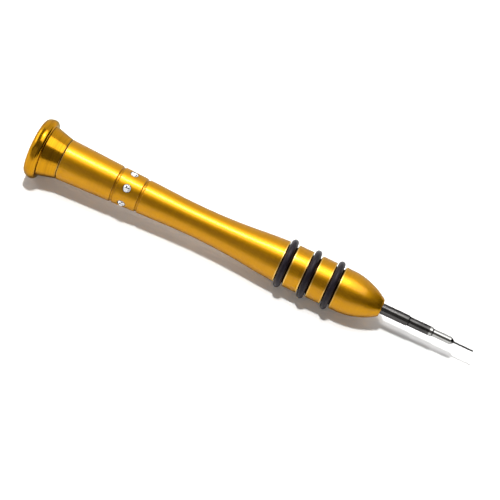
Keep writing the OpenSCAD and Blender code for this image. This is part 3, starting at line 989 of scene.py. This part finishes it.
blade_outline = [shade_corners(*p) for p in soften([
    (TANG_X, 0, 0),
    (TANG_X, SHANK_R, STEP_EDGE),
    (FLUTES_END - FLUTE_FADE, SHANK_R, 0),
    (FLUTES_END, SHANK_R, 0),
    (SHANK_END - SHANK_FRONT, SHANK_R, 0),
    *shoulder(SHANK_END, SHANK_R, STEP_R, corner=0.08, shade_run=0.25),
    *shoulder(STEP_END, STEP_R, FRONT_R, corner=0.06, shade_run=0.2),
    (FRONT_END, FRONT_R, CONE_EDGE),
    (TIP_START, TIP_R, CONE_FOOT),
    (DRIVE_START - LOBE_FADE, TIP_R, 0),
    (DRIVE_START, TIP_R, 0),
    (TIP_END, TIP_R, TIP_EDGE),
    (TIP_END, 0, 0),
])]
blade_flutes = [flutes_at(x) for x, _, _ in blade_outline]
blade = turn_piece("stepped_blade", blade_outline, blade_steel, BLADE_STEPS, flutes=blade_flutes)
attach(blade, "handle")
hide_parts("blade")
report(blade)

# %% [markdown]
# ## Swivel bearing and pivot
#
# Inside the cap the solids already have the right shapes: raceways, balls, cage, shields, screw and spacer.
# They only need finishes. Ground steel is bright with a faint haze, the pressed shields are brushed, the cage
# is moulded plastic, and the screw keeps the rings of its turning. New meshes would gain nothing here, so the
# finishes go straight on the solids.

# %% Finishes for the inner pieces
# Dark and light tone, roughness and its swing, waves per metre along and across
STEELS = {
    "bearing_steel": ((0.50, 0.51, 0.53, 1), (0.60, 0.61, 0.63, 1), 0.14, 0.04, 2500, 900),
    "shield_steel": ((0.38, 0.40, 0.43, 1), (0.50, 0.52, 0.55, 1), 0.3, 0.06, 600, 4000),
    "screw_steel": ((0.28, 0.28, 0.30, 1), (0.40, 0.40, 0.42, 1), 0.3, 0.06, 6000, 300),
}
CAGE_CLOUDS = (1500, 1500, 3.0)
DARK_CAGE, LIGHT_CAGE = (0.40, 0.19, 0.06, 1), (0.52, 0.27, 0.10, 1)


def steel_finish(name, dark, light, rough, rough_swing, along, across):
    finish, tree, surface, place = new_finish(name)
    marks = grain(tree, place, along, across, 3.0)
    fill(tree, surface, {
        "Base Color": tint(tree, marks, dark, light),
        "Roughness": vary(tree, marks, rough - rough_swing, rough + rough_swing),
        "Normal": bumps(tree, marks, strength=0.2, depth=0.003),
        "Metallic": 1.0,
    })
    return finish


def cage_finish():
    finish, tree, surface, place = new_finish("cage_plastic")
    cloud = grain(tree, place, *CAGE_CLOUDS)
    fill(tree, surface, {
        "Base Color": tint(tree, cloud, DARK_CAGE, LIGHT_CAGE),
        "Roughness": vary(tree, cloud, 0.4, 0.55),
    })
    return finish


inner_finishes = {name: steel_finish(name, *look) for name, look in STEELS.items()}
inner_finishes["cage_plastic"] = cage_finish()
dressed = 0
for part in frame["record"]["subparts"]:
    if part["material_slot"] in inner_finishes:
        slots = frame["nodes"][part["node"]].data.materials
        slots.clear()
        slots.append(inner_finishes[part["material_slot"]])
        dressed += 1
print("inner pieces with a finish:", dressed)

# %% [markdown]
# ## Studio
#
# The tool lies on a white sweep. It rests on the cap's rim and the front ring, so the sweep is laid along the
# line through both, and its edge curves up all round. Away from the tool, where the lamps don't reach, it
# glows a little, so that every side view has a white ground. Metal looks like what it mirrors, so the boards
# round it are chosen for that: a lit wall behind gives the upper edge, a white board stands beside the cap,
# and in front a low white board and a dim one leave a dark band along the middle. A black flag near the tip
# darkens the nose and the ends of the blade's steps. The flag and the dim board are there for the metal
# alone, so the camera doesn't see them.

# %% Matt finish and stage pieces
NEAR_FLOOR_M, FAR_FLOOR_M = 0.2, 0.6


def matt_finish(name, albedo, lift, far_lift=None, lit=False):
    finish, tree = empty_finish(name)
    path = add(tree, "ShaderNodeLightPath").outputs
    seen = sums(tree, "MAXIMUM", path["Is Camera Ray"], path["Is Glossy Ray"])
    seen = sums(tree, "MAXIMUM", seen, path["Is Transmission Ray"])
    if far_lift is not None:
        place = add(tree, "ShaderNodeTexCoord").outputs["Object"]
        far = add(tree, "ShaderNodeVectorMath", {0: place}, operation="LENGTH").outputs["Value"]
        lift = spread(tree, far, NEAR_FLOOR_M, FAR_FLOOR_M, lift, far_lift)
    strength = lift if lit else sums(tree, "MULTIPLY", seen, lift)
    glow = wire(tree, "ShaderNodeEmission", {"Strength": strength})
    matt = wire(tree, "ShaderNodeBsdfDiffuse", {"Color": (*albedo, 1)})
    both = wire(tree, "ShaderNodeAddShader", {0: matt, 1: glow})
    add(tree, "ShaderNodeOutputMaterial", {"Surface": both})
    return finish


def stage_piece(name, points, faces, finish):
    mesh = bpy.data.meshes.new(name)
    mesh.from_pydata([tuple(v * MM for v in p) for p in points], [], faces)
    mesh.polygons.foreach_set("use_smooth", [True] * len(mesh.polygons))
    mesh.materials.append(finish)
    piece = into_scene(bpy.data.objects.new(name, mesh))
    return piece


print("the floor's glow grows from", NEAR_FLOOR_M, "to", FAR_FLOOR_M, "m away")

# %% White sweep
RIM_FOOT, RING_FOOT = (1.9, -8.3), (85.5, -6.76)
SWEEP_SLOPE = (RING_FOOT[1] - RIM_FOOT[1]) / (RING_FOOT[0] - RIM_FOOT[0])
SWEEP_CENTRE, SWEEP_RINGS, SWEEP_CURVE, SWEEP_LIP = 60.0, (150, 400, 800, 1200, 1500), 220.0, 100
SWEEP_STEPS, SWEEP_CURVE_STEPS = 96, 10


def white_sweep(finish):
    edge = SWEEP_RINGS[-1]
    rows = [(r, 0.0) for r in SWEEP_RINGS]
    for k in range(1, SWEEP_CURVE_STEPS + 1):
        a = math.radians(90) * k / SWEEP_CURVE_STEPS
        rows.append((edge + SWEEP_CURVE * math.sin(a), SWEEP_CURVE * (1 - math.cos(a))))
    rows.append((edge + SWEEP_CURVE, SWEEP_CURVE + SWEEP_LIP))

    def at(x, y, lift):
        return x, y, RIM_FOOT[1] + SWEEP_SLOPE * (x - RIM_FOOT[0]) + lift

    angles = [math.tau * k / SWEEP_STEPS for k in range(SWEEP_STEPS)]
    points = [at(SWEEP_CENTRE, 0, 0)]
    for r, lift in rows:
        points += [at(SWEEP_CENTRE + r * math.cos(a), r * math.sin(a), lift) for a in angles]
    ahead = [(k + 1) % SWEEP_STEPS for k in range(SWEEP_STEPS)]
    faces = [(0, 1 + k, 1 + n) for k, n in enumerate(ahead)]
    for row in range(len(rows) - 1):
        a, b = 1 + row * SWEEP_STEPS, 1 + (row + 1) * SWEEP_STEPS
        faces += [(a + k, b + k, b + n, a + n) for k, n in enumerate(ahead)]
    return stage_piece("white_sweep", points, faces, finish)


sweep = white_sweep(matt_finish("sweep_white", (0.82, 0.82, 0.815), lift=0.1, far_lift=0.6))
print(sweep.name, "rises", round(SWEEP_SLOPE * 1000, 1), "mm per metre towards the tip")

# %% Boards for the metal to mirror
BOARD_FOOT = -60
LEFT, RIGHT, BACK, FRONT = -1100, 1360, 1250, -900


def board(name, start, end, top, finish):
    corners = [(*start, BOARD_FOOT), (*end, BOARD_FOOT), (*end, top), (*start, top)]
    return stage_piece(name, corners, [(0, 1, 2, 3)], finish)


wall_white = matt_finish("wall_white", (0.8, 0.8, 0.8), lift=0.7, lit=True)
board_white = matt_finish("board_white", (0.8, 0.8, 0.8), lift=0.7)
flag_black = matt_finish("flag_black", (0.02, 0.02, 0.02), lift=0.0)
dim_grey = matt_finish("dim_grey", (0.1, 0.1, 0.1), lift=0.36)
seen_boards = [
    board("back_wall", (LEFT, BACK), (RIGHT, BACK), top=1600, finish=wall_white),
    board("front_board", (LEFT, FRONT), (1160, FRONT), top=130, finish=board_white),
    board("side_board", (LEFT, -500), (LEFT, BACK), top=1000, finish=board_white),
]
unseen_boards = [
    board("black_flag", (650, -600), (650, 900), top=380, finish=flag_black),
    board("dim_board", (LEFT, FRONT), (0, FRONT), top=1000, finish=dim_grey),
]
for piece in unseen_boards:
    piece.visible_camera = False
print("boards:", len(seen_boards), "in sight,", len(unseen_boards), "for the metal alone")

# %% [markdown]
# ## Lamps
#
# A small key lamp overhead draws the crisp shadow. Its mirror image would be a hard spot on the gold, and a
# photographer takes it out with polarising filters on the lamp and the lens; here it is hidden from glossy
# rays. A wide panel does the opposite: it only gives the metal its broad soft highlight and leaves the shadow
# alone. The core lamp does both and makes the bright line in that highlight, and a window beside the cap
# lights the rim. One large lamp would be simpler, but then the shadow would have no edge.

# %% Lamps and room
ROOM_COLOUR, ROOM_LEVEL = (1, 0.96, 0.9, 1), 0.18


def lamp(name, size, place, aim, watts):
    light = bpy.data.lights.new(name, "AREA")
    light.shape = "RECTANGLE"
    light.size, light.size_y = size
    light.energy = watts
    piece = into_scene(bpy.data.objects.new(name, light))
    piece.location = place
    piece.rotation_euler = (Vector(place) - Vector(aim)).to_track_quat("Z", "Y").to_euler()
    return piece


key = lamp("key_lamp", (0.055, 0.055), (-0.07, -0.03, 0.75), (0.06, 0, 0), watts=5.3)
key.visible_glossy = False
core = lamp("core_lamp", (0.24, 0.14), (-0.07, 0.15, 0.78), (-0.07, 0.15, 0), watts=3.2)
panel = lamp("top_panel", (0.9, 0.72), (0.17, 0.18, 0.8), (0.17, 0.18, 0), watts=6.2)
panel.visible_diffuse = False
window = lamp("side_window", (0.9, 0.5), (-1.05, 0.2, 0.5), (0, 0.1, 0), watts=3.6)

room = bpy.data.worlds.new("dark_room")
room.use_nodes = True
background = room.node_tree.nodes["Background"]
fill(room.node_tree, background, {"Color": ROOM_COLOUR, "Strength": ROOM_LEVEL})
bpy.context.scene.world = room
bpy.context.scene.view_settings.view_transform = "Standard"
print("lamps in watts:", {piece.name: round(piece.data.energy, 1) for piece in (key, core, panel, window)})
